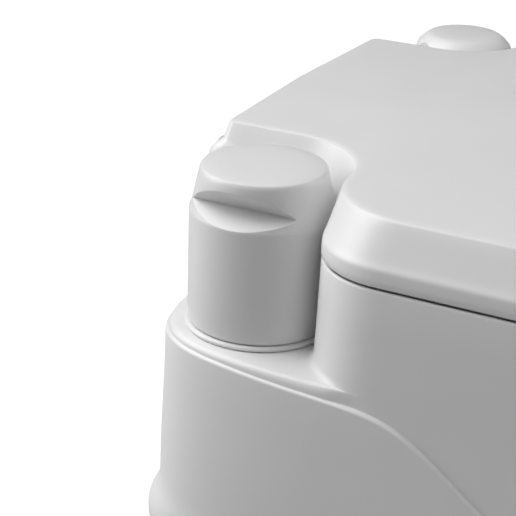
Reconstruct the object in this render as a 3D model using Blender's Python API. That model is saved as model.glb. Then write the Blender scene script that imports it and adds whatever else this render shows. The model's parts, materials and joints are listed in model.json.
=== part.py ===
"""Portable two-part toilet: a flush tank with bowl, seat, lid and pump over a detachable waste tank.

Frame: metres, +Z up, front towards -Y, +X to the user's right when facing the front.
Origin: floor level, centre of the footprint.
"""
import math

import bmesh
import bpy
from mathutils import Vector

# Driving dimensions
FLOOR_GAP = 0.0003            # gap between touching pieces
SIDE = 0.1916                 # half width of the tank walls under the platform
FRONT = 0.2204                # front wall, measured from the origin
REAR = 0.2120                 # rear wall at the centre line
SEAM = 0.1990                 # height of the seam between the two tanks
PLATFORM = 0.3160             # height of the pump and filler platforms
DECK = 0.3697                 # top of the raised body, under the seat
LID_TOP = 0.3992              # flat top of the closed lid
WALL = 0.0055                 # wall thickness of the tanks
PUMP = (-0.1408, 0.1570)      # pump axis
FILLER = (0.1408, 0.1570)     # filler axis
PUMP_R = 0.0360               # radius of the pump knob
NOTCH_R = 0.0390              # radius of the raised body's hollow round the pump
CORNER_R = 0.0400             # radius of the raised body's shoulder in front of the pump
RAISED_SIDE = 0.1890          # half width of the raised body
RAISED_REAR = 0.2112          # rear wall of the raised body at the centre line
HINGE_Y = 0.2175              # seat and lid hinge axis
HINGE_Z = 0.3745
HINGE_X = 0.0480              # centre of each hinge from the centre line
PIN_R = 0.0025                # hinge pin radius
RUNNING = 0.00008             # radial clearance of a running fit
BLADE_Y = 0.0200              # centre of the outlet and its slide valve
OUTLET_R = 0.0450             # radius of the outlet port
PAN_Z = 0.1760                # floor of the recess in the waste tank's top
CHANNEL_Z = 0.1350            # floor of the recess that holds the pour-out spout
SPOUT = (0.1180, 0.1850)      # pour-out spout's swivel axis
SPOUT_Z = 0.1650              # height of the spout tube's centre
SPOUT_END = -0.0200           # free end of the spout, in X
SPOUT_R = 0.0200
HANDLE_Y = -0.2085            # carry handle's pivot
HANDLE_Z = 0.1520
LATCH = (-0.0200, 0.1800)     # side latch pivot, in Y and Z
LATCH_REACH = 0.0340          # from the latch's pivot to its stud
FLOAT_Z = 0.0700              # level float's axis
ROUND = 28                    # sides of a round piece
SMALL = 16                    # sides of a small round piece
OVAL = 32                     # sides of the bowl and the seat
VENT = (-0.0620, 0.1850)      # vent button's axis
VALVE_SCREWS = ((-0.0780, -0.1100), (0.0780, -0.1100), (-0.0780, 0.1000), (0.0780, 0.1000))
NOZZLE_Z = 0.3520             # height of the spray nozzle
SEAT_BUFFERS = ((-0.1460, 0.0600), (0.1460, 0.0600), (-0.1460, -0.0700), (0.1460, -0.0700))
LID_BUFFERS = ((-0.1250, -0.1000), (0.1250, -0.1000))
BOWL_LEVELS = (               # height, half width, half depth, centre in Y
    (0.1960, 0.0500, 0.0500, 0.0200),
    (0.2140, 0.0510, 0.0510, 0.0200),
    (0.2320, 0.0720, 0.0790, 0.0150),
    (0.2620, 0.0950, 0.1100, 0.0080),
    (0.3050, 0.1120, 0.1360, 0.0030),
    (0.3450, 0.1200, 0.1480, 0.0000),
    (0.3850, 0.1240, 0.1540, 0.0000),
)


# Scene and materials
def clear_scene():
    for item in list(bpy.data.objects):
        bpy.data.objects.remove(item, do_unlink=True)


def material(name, color, roughness, metallic=0.0, alpha=1.0):
    made = bpy.data.materials.new(name)
    made.use_nodes = True
    shader = made.node_tree.nodes["Principled BSDF"]
    shader.inputs["Base Color"].default_value = (*color, 1.0)
    shader.inputs["Roughness"].default_value = roughness
    shader.inputs["Metallic"].default_value = metallic
    shader.inputs["Alpha"].default_value = alpha
    return made


def make_object(name, bm, finish=None, origin=(0.0, 0.0, 0.0), sharp=35.0):
    """Turn a bmesh built in world coordinates into an object whose origin is at origin."""
    bmesh.ops.translate(bm, verts=bm.verts, vec=-Vector(origin))
    mesh = bpy.data.meshes.new(name)
    bm.to_mesh(mesh)
    bm.free()
    made = bpy.data.objects.new(name, mesh)
    made.location = origin
    bpy.context.collection.objects.link(made)
    if finish:
        mesh.materials.append(finish)
        mesh.shade_smooth()
        mesh.set_sharp_from_angle(angle=math.radians(sharp))
    return made


def guide(made):
    made.hide_render = True
    made.display_type = "WIRE"
    return made


def boolean(made, other, operation="DIFFERENCE"):
    """Cut other from made, or join it to made; other becomes a guide."""
    modifier = made.modifiers.new(operation.title() + other.name, "BOOLEAN")
    modifier.operation = operation
    modifier.solver = "EXACT"
    modifier.object = guide(other)
    return made


# Outlines, all counter-clockwise seen from above
def arc(center, radius, start, end, steps):
    """Points along an arc in degrees, both ends included."""
    points = []
    for i in range(steps + 1):
        angle = math.radians(start + (end - start) * i / steps)
        points.append((center[0] + radius * math.cos(angle), center[1] + radius * math.sin(angle)))
    return points


def bezier(p0, p1, p2, p3, steps):
    """Points along a cubic curve, both ends included."""
    points = []
    for i in range(steps + 1):
        t = i / steps
        weights = ((1 - t) ** 3, 3 * t * (1 - t) ** 2, 3 * t * t * (1 - t), t ** 3)
        points.append(tuple(sum(w * p[k] for w, p in zip(weights, (p0, p1, p2, p3))) for k in (0, 1)))
    return points


def both_halves(right):
    """Close a right half that starts and ends on the centre line with its mirror image."""
    left = [(-x, y) for x, y in reversed(right[1:-1])]
    return right + left


def smoothstep(low, high, value):
    t = min(1.0, max(0.0, (value - low) / (high - low)))
    return t * t * (3.0 - 2.0 * t)


def tank_outline(grow=0.0, rear_push=0.0):
    """Plan of the two tanks: a round front, long sides and tight rear corners."""
    s, f = SIDE + grow, FRONT + grow
    right = bezier((0.0, -f), (0.145, -f), (s, -0.195), (s, -0.050), 9)
    x, y = FILLER[0] + grow, FILLER[1] + grow
    right += bezier((s, y - 0.0600), (s, y + 0.0250), (x + 0.0320, y + 0.0435), (x - 0.0102, y + 0.0473), 7)
    for x in (0.090, 0.045, 0.0):
        right.append((x, REAR + grow - 0.42 * x * x))
    pushed = [(x, y + rear_push * smoothstep(0.10, 0.19, y)) for x, y in right]
    return both_halves(pushed)


def raised_outline(inset=0.0):
    """Plan of the raised body and the lid: hollows round the pump and the filler at the rear."""
    s = RAISED_SIDE - inset
    front = FRONT - 0.002 - inset
    right = bezier((0.0, -front), (0.143, -front), (s, -0.190), (s, -0.060), 9)
    cx = RAISED_SIDE - CORNER_R
    span = CORNER_R + NOTCH_R
    cy = FILLER[1] - math.sqrt(span * span - (FILLER[0] - cx) ** 2)
    lean = math.degrees(math.atan2(FILLER[1] - cy, FILLER[0] - cx))
    right += arc((cx, cy), CORNER_R - inset, 0.0, lean, 6)
    right += arc(FILLER, NOTCH_R + inset, lean - 180.0, -180.0, 7)[1:]
    wall_x = FILLER[0] - NOTCH_R - inset
    rear = RAISED_REAR - inset
    edge = 0.006
    right += arc((wall_x - edge, rear - 0.003 - edge), edge, 0.0, 90.0, 3)
    right += [(0.050, rear - 0.0007), (0.0, rear)]
    return both_halves(right)


def lid_top_outline(inset=0.0):
    """Plan of the lid's flat top, inside its wide bevel."""
    s = 0.1783 - inset
    front = FRONT - 0.015 - inset
    right = bezier((0.0, -front), (0.135, -front), (s, -0.180), (s, -0.055), 9)
    radius, hollow = 0.050 - inset, 0.0435 + inset
    center = (FILLER[0] - 0.005, FILLER[1] + 0.002)
    cx = s - radius
    span = radius + hollow
    cy = center[1] - math.sqrt(span * span - (center[0] - cx) ** 2)
    lean = math.degrees(math.atan2(center[1] - cy, center[0] - cx))
    right += arc((cx, cy), radius, 0.0, lean, 6)
    right += arc(center, hollow, lean - 180.0, -180.0, 7)[1:]
    rear = 0.2060 - inset
    edge = 0.004
    right += arc((center[0] - hollow - edge, rear - 0.003 - edge), edge, 0.0, 90.0, 3)
    right += [(0.050, rear - 0.0007), (0.0, rear)]
    return both_halves(right)


def oval(a, b, cy=0.0, power=2.0, steps=OVAL):
    """Superellipse centred on the centre line."""
    points = []
    for i in range(steps):
        angle = 2.0 * math.pi * i / steps
        c, s = math.cos(angle), math.sin(angle)
        x = math.copysign(abs(c) ** (2.0 / power), c) * a
        y = math.copysign(abs(s) ** (2.0 / power), s) * b
        points.append((x, cy + y))
    return points


# Solids
def loft(levels, closed=False):
    """Bridge outlines, each given as (z, points), from the bottom up; closed joins last to first."""
    bm = bmesh.new()
    rings = [[bm.verts.new((x, y, z)) for x, y in points] for z, points in levels]
    pairs = list(zip(rings, rings[1:]))
    if closed:
        pairs.append((rings[-1], rings[0]))
    for low, high in pairs:
        for i in range(len(low)):
            j = (i + 1) % len(low)
            bm.faces.new((low[i], low[j], high[j], high[i]))
    if not closed:
        bm.faces.new(list(reversed(rings[0])))
        bm.faces.new(rings[-1])
    return bm


def box(low, high):
    corners = [(low[0], low[1]), (high[0], low[1]), (high[0], high[1]), (low[0], high[1])]
    return loft([(low[2], corners), (high[2], corners)])


def lathe(profile, center, sides=ROUND, closed=False):
    """Turn a profile of (radius, z) points about a vertical axis at center, bottom to top outside."""
    levels = []
    for radius, z in profile:
        levels.append((z, [(center[0] + radius * math.cos(2.0 * math.pi * i / sides),
                            center[1] + radius * math.sin(2.0 * math.pi * i / sides)) for i in range(sides)]))
    return loft(levels, closed)


def ring(center, inner, outer, low, high, sides=ROUND):
    """Flat ring, as a turned rectangle."""
    return lathe([(outer, low), (outer, high), (inner, high), (inner, low)], center, sides, closed=True)


def cylinder(start, axis, radius, length, sides=SMALL):
    """Cylinder from start along +axis, one of x, y or z."""
    bm = lathe([(radius, 0.0), (radius, length)], (0.0, 0.0), sides)
    turned = {"z": (0.0, 0.0, 1.0), "x": (1.0, 0.0, 0.0), "y": (0.0, 1.0, 0.0)}[axis]
    rotation = Vector((0.0, 0.0, 1.0)).rotation_difference(Vector(turned)).to_matrix()
    bmesh.ops.rotate(bm, verts=bm.verts, cent=(0.0, 0.0, 0.0), matrix=rotation)
    bmesh.ops.translate(bm, verts=bm.verts, vec=start)
    return bm


def turned_x(profile, start, sides=ROUND, closed=False):
    """Lathe about an axis along -X: profile is (radius, distance from start towards -X)."""
    bm = lathe(profile, (0.0, 0.0), sides, closed)
    rotation = Vector((0.0, 0.0, 1.0)).rotation_difference(Vector((-1.0, 0.0, 0.0))).to_matrix()
    bmesh.ops.rotate(bm, verts=bm.verts, cent=(0.0, 0.0, 0.0), matrix=rotation)
    bmesh.ops.translate(bm, verts=bm.verts, vec=start)
    return bm


def side_plate(points, x_low, x_high):
    """Extrude a (y, z) outline, counter-clockwise seen from +X, along X."""
    bm = bmesh.new()
    near = [bm.verts.new((x_low, y, z)) for y, z in points]
    far = [bm.verts.new((x_high, y, z)) for y, z in points]
    for i in range(len(points)):
        j = (i + 1) % len(points)
        bm.faces.new((near[i], near[j], far[j], far[i]))
    bm.faces.new(list(reversed(near)))
    bm.faces.new(far)
    return bm


def smooth_path(points, steps):
    """Catmull-Rom curve through hand-placed points."""
    padded = [points[0]] + list(points) + [points[-1]]
    path = []
    for p0, p1, p2, p3 in zip(padded, padded[1:], padded[2:], padded[3:]):
        for i in range(steps):
            t = i / steps
            path.append(tuple(0.5 * (2 * b + (c - a) * t + (2 * a - 5 * b + 4 * c - d) * t * t
                                     + (3 * b - a - 3 * c + d) * t ** 3)
                              for a, b, c, d in zip(p0, p1, p2, p3)))
    path.append(tuple(points[-1]))
    return path


def tube(name, points, radius, finish):
    curve = bpy.data.curves.new(name, "CURVE")
    curve.dimensions = "3D"
    curve.bevel_depth = radius
    curve.bevel_resolution = 2
    curve.use_fill_caps = True
    spline = curve.splines.new("POLY")
    spline.points.add(len(points) - 1)
    for point, place in zip(spline.points, points):
        point.co = (*place, 1.0)
    curve.materials.append(finish)
    made = bpy.data.objects.new(name, curve)
    bpy.context.collection.objects.link(made)
    return made


def bowl_loft(grow, low, high):
    """Loft of the bowl's form, grown sideways and ending at the given heights."""
    levels = []
    for z, a, b, cy in BOWL_LEVELS:
        levels.append((z, oval(a + grow, b + grow, cy)))
    levels[0] = (low, levels[0][1])
    levels[-1] = (high, levels[-1][1])
    return loft(levels)


def make_waste_tank(finish):
    tank = make_object("waste_tank", loft([
        (0.0036, tank_outline(-0.016)), (0.0080, tank_outline(-0.007)), (0.0180, tank_outline(-0.002)),
        (0.0320, tank_outline(0.0)), (0.1780, tank_outline(0.0012)), (0.1880, tank_outline(0.0020, 0.002)),
        (0.1945, tank_outline(0.0028, 0.005)), (SEAM - 0.0003, tank_outline(0.0024, 0.005))]), finish)
    cavity = make_object("waste_cavity", loft([
        (0.0100, tank_outline(-0.018)), (0.0220, tank_outline(-WALL - 0.004)),
        (0.0380, tank_outline(-WALL)), (0.1700, tank_outline(-WALL))]))
    boolean(cavity, make_object("keep_spout_wall", box((-0.0860, 0.1490, 0.1290), (0.1560, 0.30, 0.20))))
    boolean(cavity, make_object("keep_handle_wall", box((-0.0980, -0.30, 0.0960), (0.0980, -0.1940, 0.20))))
    boolean(tank, cavity)
    boolean(tank, make_object("pan_cut", loft([
        (PAN_Z, tank_outline(-0.016)), (0.2300, tank_outline(-0.016))])))
    boolean(tank, make_object("channel_cut", box((-0.0800, 0.1550, CHANNEL_Z), (0.1500, 0.30, 0.26))))
    boolean(tank, make_object("port_cut", cylinder((0.0, BLADE_Y, 0.165), "z", OUTLET_R, 0.03, ROUND)))
    boolean(tank, make_object("strip_cut", box((-0.0240, -0.2400, 0.1830), (0.0240, -0.1900, 0.26))))
    boolean(tank, make_object("grip_cut", box((-0.0450, -0.2600, 0.1790), (0.0450, -0.2050, 0.27))))
    boolean(tank, make_object("handle_cut", box((-0.0900, -0.2800, 0.1050), (0.0900, -0.2000, 0.1660))))
    boolean(tank, make_object("spout_port", cylinder((*SPOUT, 0.120), "z", 0.0165, 0.03)))
    boolean(tank, make_object("vent_port", cylinder((*VENT, 0.120), "z", 0.0042, 0.03, 16)))
    boolean(tank, make_object("window_port", cylinder((0.0, -0.2400, FLOAT_Z), "y", 0.0105, 0.035)))
    for side in (-1, 1):
        start = (0.0895 if side > 0 else -0.0965, HANDLE_Y, HANDLE_Z)
        boolean(tank, make_object("handle_pin_port%d" % side, cylinder(start, "x", 0.0033, 0.0070, 16)))
    for i, (x, y) in enumerate(VALVE_SCREWS):
        boolean(tank, make_object("valve_screw_port%d" % i, cylinder((x, y, 0.1722), "z", 0.0018, 0.01, 12)))
    return tank


def make_feet(finish):
    for name, x, y in (("foot_front_left", -0.125, -0.145), ("foot_front_right", 0.125, -0.145),
                       ("foot_rear_left", -0.140, 0.155), ("foot_rear_right", 0.140, 0.155)):
        make_object(name, lathe([(0.0125, 0.0), (0.0135, 0.0010), (0.0135, 0.0033)], (x, y), SMALL), finish)


def make_valve(shell, blade_finish, rubber, steel):
    frame = make_object("valve_frame", box((-0.0850, -0.1200, PAN_Z + FLOOR_GAP), (0.0850, 0.1100, 0.1955)), shell)
    boolean(frame, make_object("blade_slot", box((-0.0665, -0.1300, 0.1840), (0.0665, 0.0850, 0.1883))))
    boolean(frame, make_object("frame_port", cylinder((0.0, BLADE_Y, 0.170), "z", OUTLET_R, 0.03, ROUND)))
    for i, (x, y) in enumerate(VALVE_SCREWS):
        boolean(frame, make_object("frame_hole%d" % i, cylinder((x, y, 0.170), "z", 0.0018, 0.03, 12)))
        make_object("valve_screw_%d" % (i + 1), lathe(
            [(0.0015, 0.1725), (0.0015, 0.1958), (0.0034, 0.1958), (0.0030, 0.1974), (0.0012, 0.1978)],
            (x, y), 12), steel)
    blade = [(-0.0200, -0.2060), (0.0200, -0.2060), (0.0200, -0.0500), (0.0660, -0.0400),
             (0.0660, 0.0800), (-0.0660, 0.0800), (-0.0660, -0.0400), (-0.0200, -0.0500)]
    make_object("valve_blade", loft([(0.1843, blade), (0.1880, blade)]), blade_finish)
    grip = [(-0.0400, -0.2140), (-0.0300, -0.2175), (0.0300, -0.2175), (0.0400, -0.2140),
            (0.0400, -0.2090), (0.0300, -0.2063), (-0.0300, -0.2063), (-0.0400, -0.2090)]
    make_object("valve_handle", loft([(0.1805, grip), (0.1960, grip)]), shell)
    make_object("valve_seal", ring((0.0, BLADE_Y), 0.0455, 0.0520, 0.1958, 0.1985), rubber)


def make_spout(shell, cap_finish, rubber):
    elbow = make_object("pour_spout", cylinder((*SPOUT, CHANNEL_Z + FLOOR_GAP), "z", 0.0218, 0.0300, ROUND),
                        shell, (*SPOUT, CHANNEL_Z))
    length = SPOUT[0] - SPOUT_END
    ball = bmesh.new()
    bmesh.ops.create_uvsphere(ball, u_segments=SMALL, v_segments=12, radius=0.0216)
    bmesh.ops.translate(ball, verts=ball.verts, vec=(*SPOUT, SPOUT_Z))
    boolean(elbow, make_object("spout_ball", ball), "UNION")
    boolean(elbow, make_object("spout_tube", cylinder((SPOUT_END, SPOUT[1], SPOUT_Z), "x", SPOUT_R, length)),
            "UNION")
    boolean(elbow, make_object("spout_bore_down", cylinder((*SPOUT, 0.125), "z", 0.0165, SPOUT_Z - 0.125)))
    boolean(elbow, make_object("spout_bore_out", cylinder((SPOUT_END - 0.01, SPOUT[1], SPOUT_Z), "x", 0.0164,
                                                          length + 0.01, 20)))
    make_object("spout_bearing", ring(SPOUT, 0.0222, 0.0290, CHANNEL_Z + FLOOR_GAP, 0.1410), shell)
    end = (SPOUT_END, SPOUT[1], SPOUT_Z)
    washer = [(0.0195, 0.0003), (0.0195, 0.0015), (0.0160, 0.0015), (0.0160, 0.0003)]
    make_object("spout_seal", turned_x(washer, end, SMALL, closed=True), rubber, end)
    cap = make_object("spout_cap", turned_x([(0.0232, -0.0120), (0.0235, 0.0030), (0.0222, 0.0048),
                                             (0.0100, 0.0052)], end), cap_finish, end)
    boolean(cap, make_object("spout_cap_bore", cylinder((SPOUT_END - 0.0018, SPOUT[1], SPOUT_Z), "x", 0.0204,
                                                        0.0300, ROUND)))


def make_vent(shell, finish):
    make_object("vent_housing", ring(VENT, 0.0094, 0.0125, CHANNEL_Z + FLOOR_GAP, 0.1430, SMALL), shell)
    make_object("vent_button", lathe([(0.0068, 0.1220), (0.0068, 0.1240), (0.0038, 0.1240), (0.0038, 0.1400),
                                      (0.0091, 0.1400), (0.0091, 0.1480), (0.0080, 0.1488)], VENT, SMALL),
                finish, (*VENT, 0.1400))


def make_carry_handle(finish, steel):
    """Bail that hangs in the recess of the waste tank's front."""
    bar = [(-0.0830, 0.1130), (0.0830, 0.1130), (0.0880, 0.1180), (0.0880, 0.1554), (0.0850, 0.1580),
           (0.0780, 0.1580), (0.0750, 0.1554), (0.0750, 0.1290), (0.0720, 0.1260), (-0.0720, 0.1260),
           (-0.0750, 0.1290), (-0.0750, 0.1554), (-0.0780, 0.1580), (-0.0850, 0.1580), (-0.0880, 0.1554),
           (-0.0880, 0.1180)]
    bm = bmesh.new()
    front = [bm.verts.new((x, HANDLE_Y - 0.0055, z)) for x, z in bar]
    back = [bm.verts.new((x, HANDLE_Y + 0.0055, z)) for x, z in bar]
    for i in range(len(bar)):
        j = (i + 1) % len(bar)
        bm.faces.new((front[j], front[i], back[i], back[j]))
    bm.faces.new(front)
    bm.faces.new(list(reversed(back)))
    handle = make_object("carry_handle", bm, finish, (0.0, HANDLE_Y, HANDLE_Z))
    for side, name in ((-1, "left"), (1, "right")):
        start = (0.0800 if side > 0 else -0.0960, HANDLE_Y, HANDLE_Z)
        boolean(handle, make_object("handle_bore_" + name, cylinder(
            (0.0700 if side > 0 else -0.0930, HANDLE_Y, HANDLE_Z), "x", 0.0030 + RUNNING, 0.0230, 16)))
        make_object("handle_pin_" + name, cylinder(start, "x", 0.0029, 0.0160, 16), steel)
    return handle


def make_level_gauge(shell, orange, clear):
    make_object("level_window", cylinder((0.0, -0.2200, FLOAT_Z), "y", 0.0101, 0.0022, SMALL), clear)
    bracket = make_object("float_bracket", box((-0.0130, -0.2145, FLOAT_Z - 0.013), (0.0130, -0.2020, FLOAT_Z + 0.013)),
                          shell)
    boolean(bracket, make_object("float_bore", cylinder((0.0, -0.2200, FLOAT_Z), "y", 0.0030 + RUNNING, 0.03)))
    rod = make_object("level_float", cylinder((0.0, -0.2170, FLOAT_Z), "y", 0.0030, 0.0590), orange,
                      (0.0, -0.2000, FLOAT_Z))
    boolean(rod, make_object("float_pointer", box((-0.0085, -0.2172, FLOAT_Z - 0.0016),
                                                  (0.0085, -0.2151, FLOAT_Z + 0.0016))), "UNION")
    arm = side_plate([(-0.1640, FLOAT_Z - 0.0020), (-0.1600, FLOAT_Z - 0.0020),
                      (-0.1600, FLOAT_Z + 0.0020), (-0.1640, FLOAT_Z + 0.0020)], -0.0020, 0.0700)
    tilt = Vector((1.0, 0.0, 0.0)).rotation_difference(Vector((0.82, 0.0, -0.57))).to_matrix()
    bmesh.ops.rotate(arm, verts=arm.verts, cent=(0.0, -0.162, FLOAT_Z), matrix=tilt)
    boolean(rod, make_object("float_arm", arm), "UNION")
    ball = bmesh.new()
    bmesh.ops.create_uvsphere(ball, u_segments=16, v_segments=8, radius=0.0150)
    bmesh.ops.translate(ball, verts=ball.verts, vec=(0.0600, -0.1620, FLOAT_Z - 0.0350))
    boolean(rod, make_object("float_ball", ball), "UNION")


def make_latches(finish, steel):
    """Side levers that turn up over a stud on the flush tank; they rest released, lying flat."""
    y0, z0 = LATCH
    half = 0.0070
    tip = y0 - LATCH_REACH
    slot = 0.0046
    lever = arc((y0, z0), half, -90.0, 90.0, 8)
    lever += [(tip + slot, z0 + half), (tip + slot, z0), (tip + 0.0033, z0 - 0.0033), (tip, z0 - 0.0042),
              (tip - 0.0033, z0 - 0.0033), (tip - slot, z0), (tip - slot, z0 + half), (tip - 0.0090, z0 + half),
              (tip - 0.0120, z0 + 0.0030), (tip - 0.0120, z0 - 0.0060), (tip - 0.0090, z0 - 0.0095),
              (tip + 0.0060, z0 - 0.0095), (tip + 0.0110, z0 - half)]
    for side, name in ((-1, "left"), (1, "right")):
        low, high = (0.1948, 0.1982) if side > 0 else (-0.1982, -0.1948)
        plate = make_object("latch_" + name, side_plate(lever, low, high), finish, (side * 0.1965, y0, z0))
        boolean(plate, make_object("latch_bore_" + name, cylinder((low - 0.002, y0, z0), "x", 0.0032 + RUNNING,
                                                                  0.0080)))
        shank = [(0.0032, 0.0), (0.0032, 0.0050), (0.0052, 0.0050), (0.0046, 0.0062)]
        for node, z in (("latch_pin_" + name, z0), ("latch_stud_" + name, z0 + LATCH_REACH)):
            pin = lathe(shank, (0.0, 0.0), SMALL)
            turn = Vector((0.0, 0.0, 1.0)).rotation_difference(Vector((side, 0.0, 0.0))).to_matrix()
            bmesh.ops.rotate(pin, verts=pin.verts, cent=(0.0, 0.0, 0.0), matrix=turn)
            foot = 0.1934 if node.startswith("latch_pin") else 0.1945
            bmesh.ops.translate(pin, verts=pin.verts, vec=(side * foot, y0, z))
            make_object(node, pin, steel)


def make_flush_tank(finish):
    tank = make_object("flush_tank", loft([
        (SEAM + 0.0003, tank_outline(0.0018, 0.0055)), (0.2020, tank_outline(0.0026, 0.0062)),
        (0.2080, tank_outline(0.0025, 0.0065)), (0.2160, tank_outline(0.0024, 0.0045)),
        (0.2230, tank_outline(0.0023, 0.0012)), (0.2300, tank_outline(0.0022)),
        (0.3080, tank_outline(0.0)), (0.3130, tank_outline(-0.0008)), (0.3155, tank_outline(-0.0026)),
        (PLATFORM, tank_outline(-0.0045))]), finish)
    raised = make_object("raised_body", loft([
        (0.3000, raised_outline(0.0002)), (0.3180, raised_outline(0.0)), (DECK - 0.0015, raised_outline(0.0012)),
        (DECK, raised_outline(0.0022))]))
    boolean(tank, raised, "UNION")
    cavity = make_object("flush_cavity", loft([(0.2050, tank_outline(-WALL)), (0.3105, tank_outline(-WALL))]))
    boolean(cavity, make_object("upper_cavity", loft([
        (0.3060, raised_outline(WALL)), (0.3645, raised_outline(WALL + 0.001))])), "UNION")
    boolean(cavity, make_object("pit_wall", bowl_loft(0.0045, 0.19, 0.39)))
    boolean(tank, cavity)
    boolean(tank, make_object("pit_cut", bowl_loft(0.0005, 0.19, 0.39)))
    boolean(tank, make_object("pump_port", cylinder((*PUMP, 0.307), "z", 0.0304, 0.02, ROUND)))
    boolean(tank, make_object("filler_port", cylinder((*FILLER, 0.307), "z", 0.0225, 0.02, ROUND)))
    boolean(tank, make_object("nozzle_port", cylinder((0.0, 0.1380, NOZZLE_Z), "y", 0.0064, 0.03, 16)))
    for side in (-1, 1):
        start = (side * HINGE_X, 0.2072, 0.3560)
        boolean(tank, make_object("bracket_screw_port%d" % side, cylinder(start, "y", 0.0018, 0.01, 12)))
    return tank


def make_bowl(finish):
    inner = []
    outer = []
    for z, a, b, cy in BOWL_LEVELS[:-1]:
        outer.append((z, oval(a, b, cy)))
        inner.append((z, oval(a - 0.0040, b - 0.0040, cy)))
    outer[0] = (0.1988, outer[0][1])
    inner[0] = (0.1988, inner[0][1])
    rim_z = DECK + FLOOR_GAP
    top = [(rim_z, oval(0.1225, 0.1515)), (rim_z, oval(0.1300, 0.1590)), (rim_z + 0.0012, oval(0.1300, 0.1590)),
           (rim_z + 0.0016, oval(0.1270, 0.1560)), (rim_z + 0.0010, oval(0.1190, 0.1480))]
    bowl = make_object("bowl", loft(outer + top + list(reversed(inner)), closed=True), finish)
    boolean(bowl, make_object("bowl_nozzle_port", cylinder((0.0, 0.1250, NOZZLE_Z), "y", 0.0064, 0.05, 16)))
    return bowl


def make_nozzle(finish, pipe):
    nozzle = make_object("spray_nozzle", cylinder((0.0, 0.1350, NOZZLE_Z), "y", 0.0060, 0.0300, 16), finish)
    head = [(-0.0170, 0.1320), (0.0170, 0.1320), (0.0130, 0.1405), (-0.0130, 0.1405)]
    boolean(nozzle, make_object("nozzle_head", loft([(NOZZLE_Z - 0.0050, head), (NOZZLE_Z + 0.0080, head)])), "UNION")
    route = [(-0.1102, 0.1570, 0.2180), (-0.0960, 0.1600, 0.2190), (-0.0700, 0.1760, 0.2400),
             (-0.0300, 0.1860, 0.2950), (-0.0060, 0.1860, 0.3370), (0.0, 0.1780, NOZZLE_Z),
             (0.0, 0.1665, NOZZLE_Z)]
    tube("flush_pipe", smooth_path(route, 4), 0.0045, pipe)


def make_pump(shell, dark, rubber, steel):
    cx, cy = PUMP
    make_object("pump_collar", lathe([
        (0.0344, 0.3163), (0.0370, 0.3163), (0.0372, 0.3178), (0.0368, 0.3184), (0.0306, 0.3184),
        (0.0306, 0.3177), (0.0344, 0.3177)], PUMP, ROUND, closed=True), shell)
    make_object("pump_barrel", lathe([
        (0.0300, 0.2080), (0.0300, 0.3163), (0.0341, 0.3163), (0.0341, 0.3174), (0.0275, 0.3174),
        (0.0275, 0.2110)], PUMP, ROUND), dark)
    make_object("pump_guide", ring(PUMP, 0.0050 + RUNNING, 0.0272, 0.3100, 0.3150, SMALL), dark)
    knob = make_object("pump_knob", lathe([
        (0.0325, 0.3190), (PUMP_R, 0.3190), (PUMP_R, 0.3755), (0.0357, 0.3766), (0.0351, 0.3776),
        (0.0314, 0.3965), (0.0304, 0.3982), (0.0285, 0.3990), (0.0150, 0.3995)], PUMP, 36), shell,
        (cx, cy, PLATFORM))
    boolean(knob, make_object("knob_hollow", cylinder((cx, cy, 0.3100), "z", 0.0325, 0.0615)))
    wedge = [(-0.0460, 0.0578), (-0.0203, 0.0662), (-0.0250, 0.0722), (-0.0290, 0.0758),
             (-0.0320, 0.0779), (-0.0460, 0.0877)]
    bm = bmesh.new()
    near = [bm.verts.new((cx + x, cy - 0.05, PLATFORM + z)) for x, z in wedge]
    far = [bm.verts.new((cx + x, cy + 0.05, PLATFORM + z)) for x, z in wedge]
    for i in range(len(wedge)):
        j = (i + 1) % len(wedge)
        bm.faces.new((near[j], near[i], far[i], far[j]))
    bm.faces.new(near)
    bm.faces.new(list(reversed(far)))
    boolean(knob, make_object("finger_notch", bm))
    make_object("pump_rod", cylinder((cx, cy, 0.2340), "z", 0.0050, 0.1371, SMALL), steel, (cx, cy, PLATFORM))
    make_object("pump_piston", lathe([
        (0.0265, 0.2160), (0.0265, 0.2200), (0.0230, 0.2200), (0.0230, 0.2260), (0.0265, 0.2260),
        (0.0265, 0.2300), (0.0120, 0.2337), (0.0040, 0.2337)], PUMP, SMALL), dark, (cx, cy, PLATFORM))
    make_object("piston_ring", ring(PUMP, 0.0234, 0.0272, 0.2203, 0.2257, SMALL), rubber, (cx, cy, PLATFORM))


def make_filler(shell, cap_finish, rubber):
    cx, cy = FILLER
    make_object("filler_neck", lathe([
        (0.0225, PLATFORM + FLOOR_GAP), (0.0340, PLATFORM + FLOOR_GAP), (0.0330, 0.3190), (0.0300, 0.3230),
        (0.0292, 0.3697), (0.0250, 0.3697), (0.0250, 0.3813), (0.0225, 0.3813)], FILLER, ROUND, closed=True), shell)
    make_object("filler_seal", ring(FILLER, 0.0220, 0.0248, 0.3816, 0.3831, SMALL), rubber, (cx, cy, 0.3816))
    cap = make_object("filler_cap", lathe([
        (0.0300, 0.3700), (0.0300, 0.3905), (0.0297, 0.3913), (0.0270, 0.3978), (0.0258, 0.3990),
        (0.0150, 0.3997)], FILLER), cap_finish, (cx, cy, 0.3816))
    boolean(cap, make_object("cap_hollow", cylinder((cx, cy, 0.3600), "z", 0.0255, 0.0234, ROUND)))


def knuckle(name, x_low, x_high, reach, finish=None):
    """Hinge eye round the seat and lid axis with an arm that runs forward to reach."""
    eye = arc((HINGE_Y, HINGE_Z), 0.0055, -90.0, 90.0, 10)
    shank = [(reach, HINGE_Z + 0.0035), (reach, HINGE_Z - 0.0030), (0.2128, HINGE_Z - 0.0030)]
    plate = side_plate(eye + shank, x_low, x_high)
    return make_object(name, plate, finish)


def hinge_bore(name):
    return make_object(name, cylinder((-0.0900, HINGE_Y, HINGE_Z), "x", PIN_R + RUNNING, 0.1800))


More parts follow.
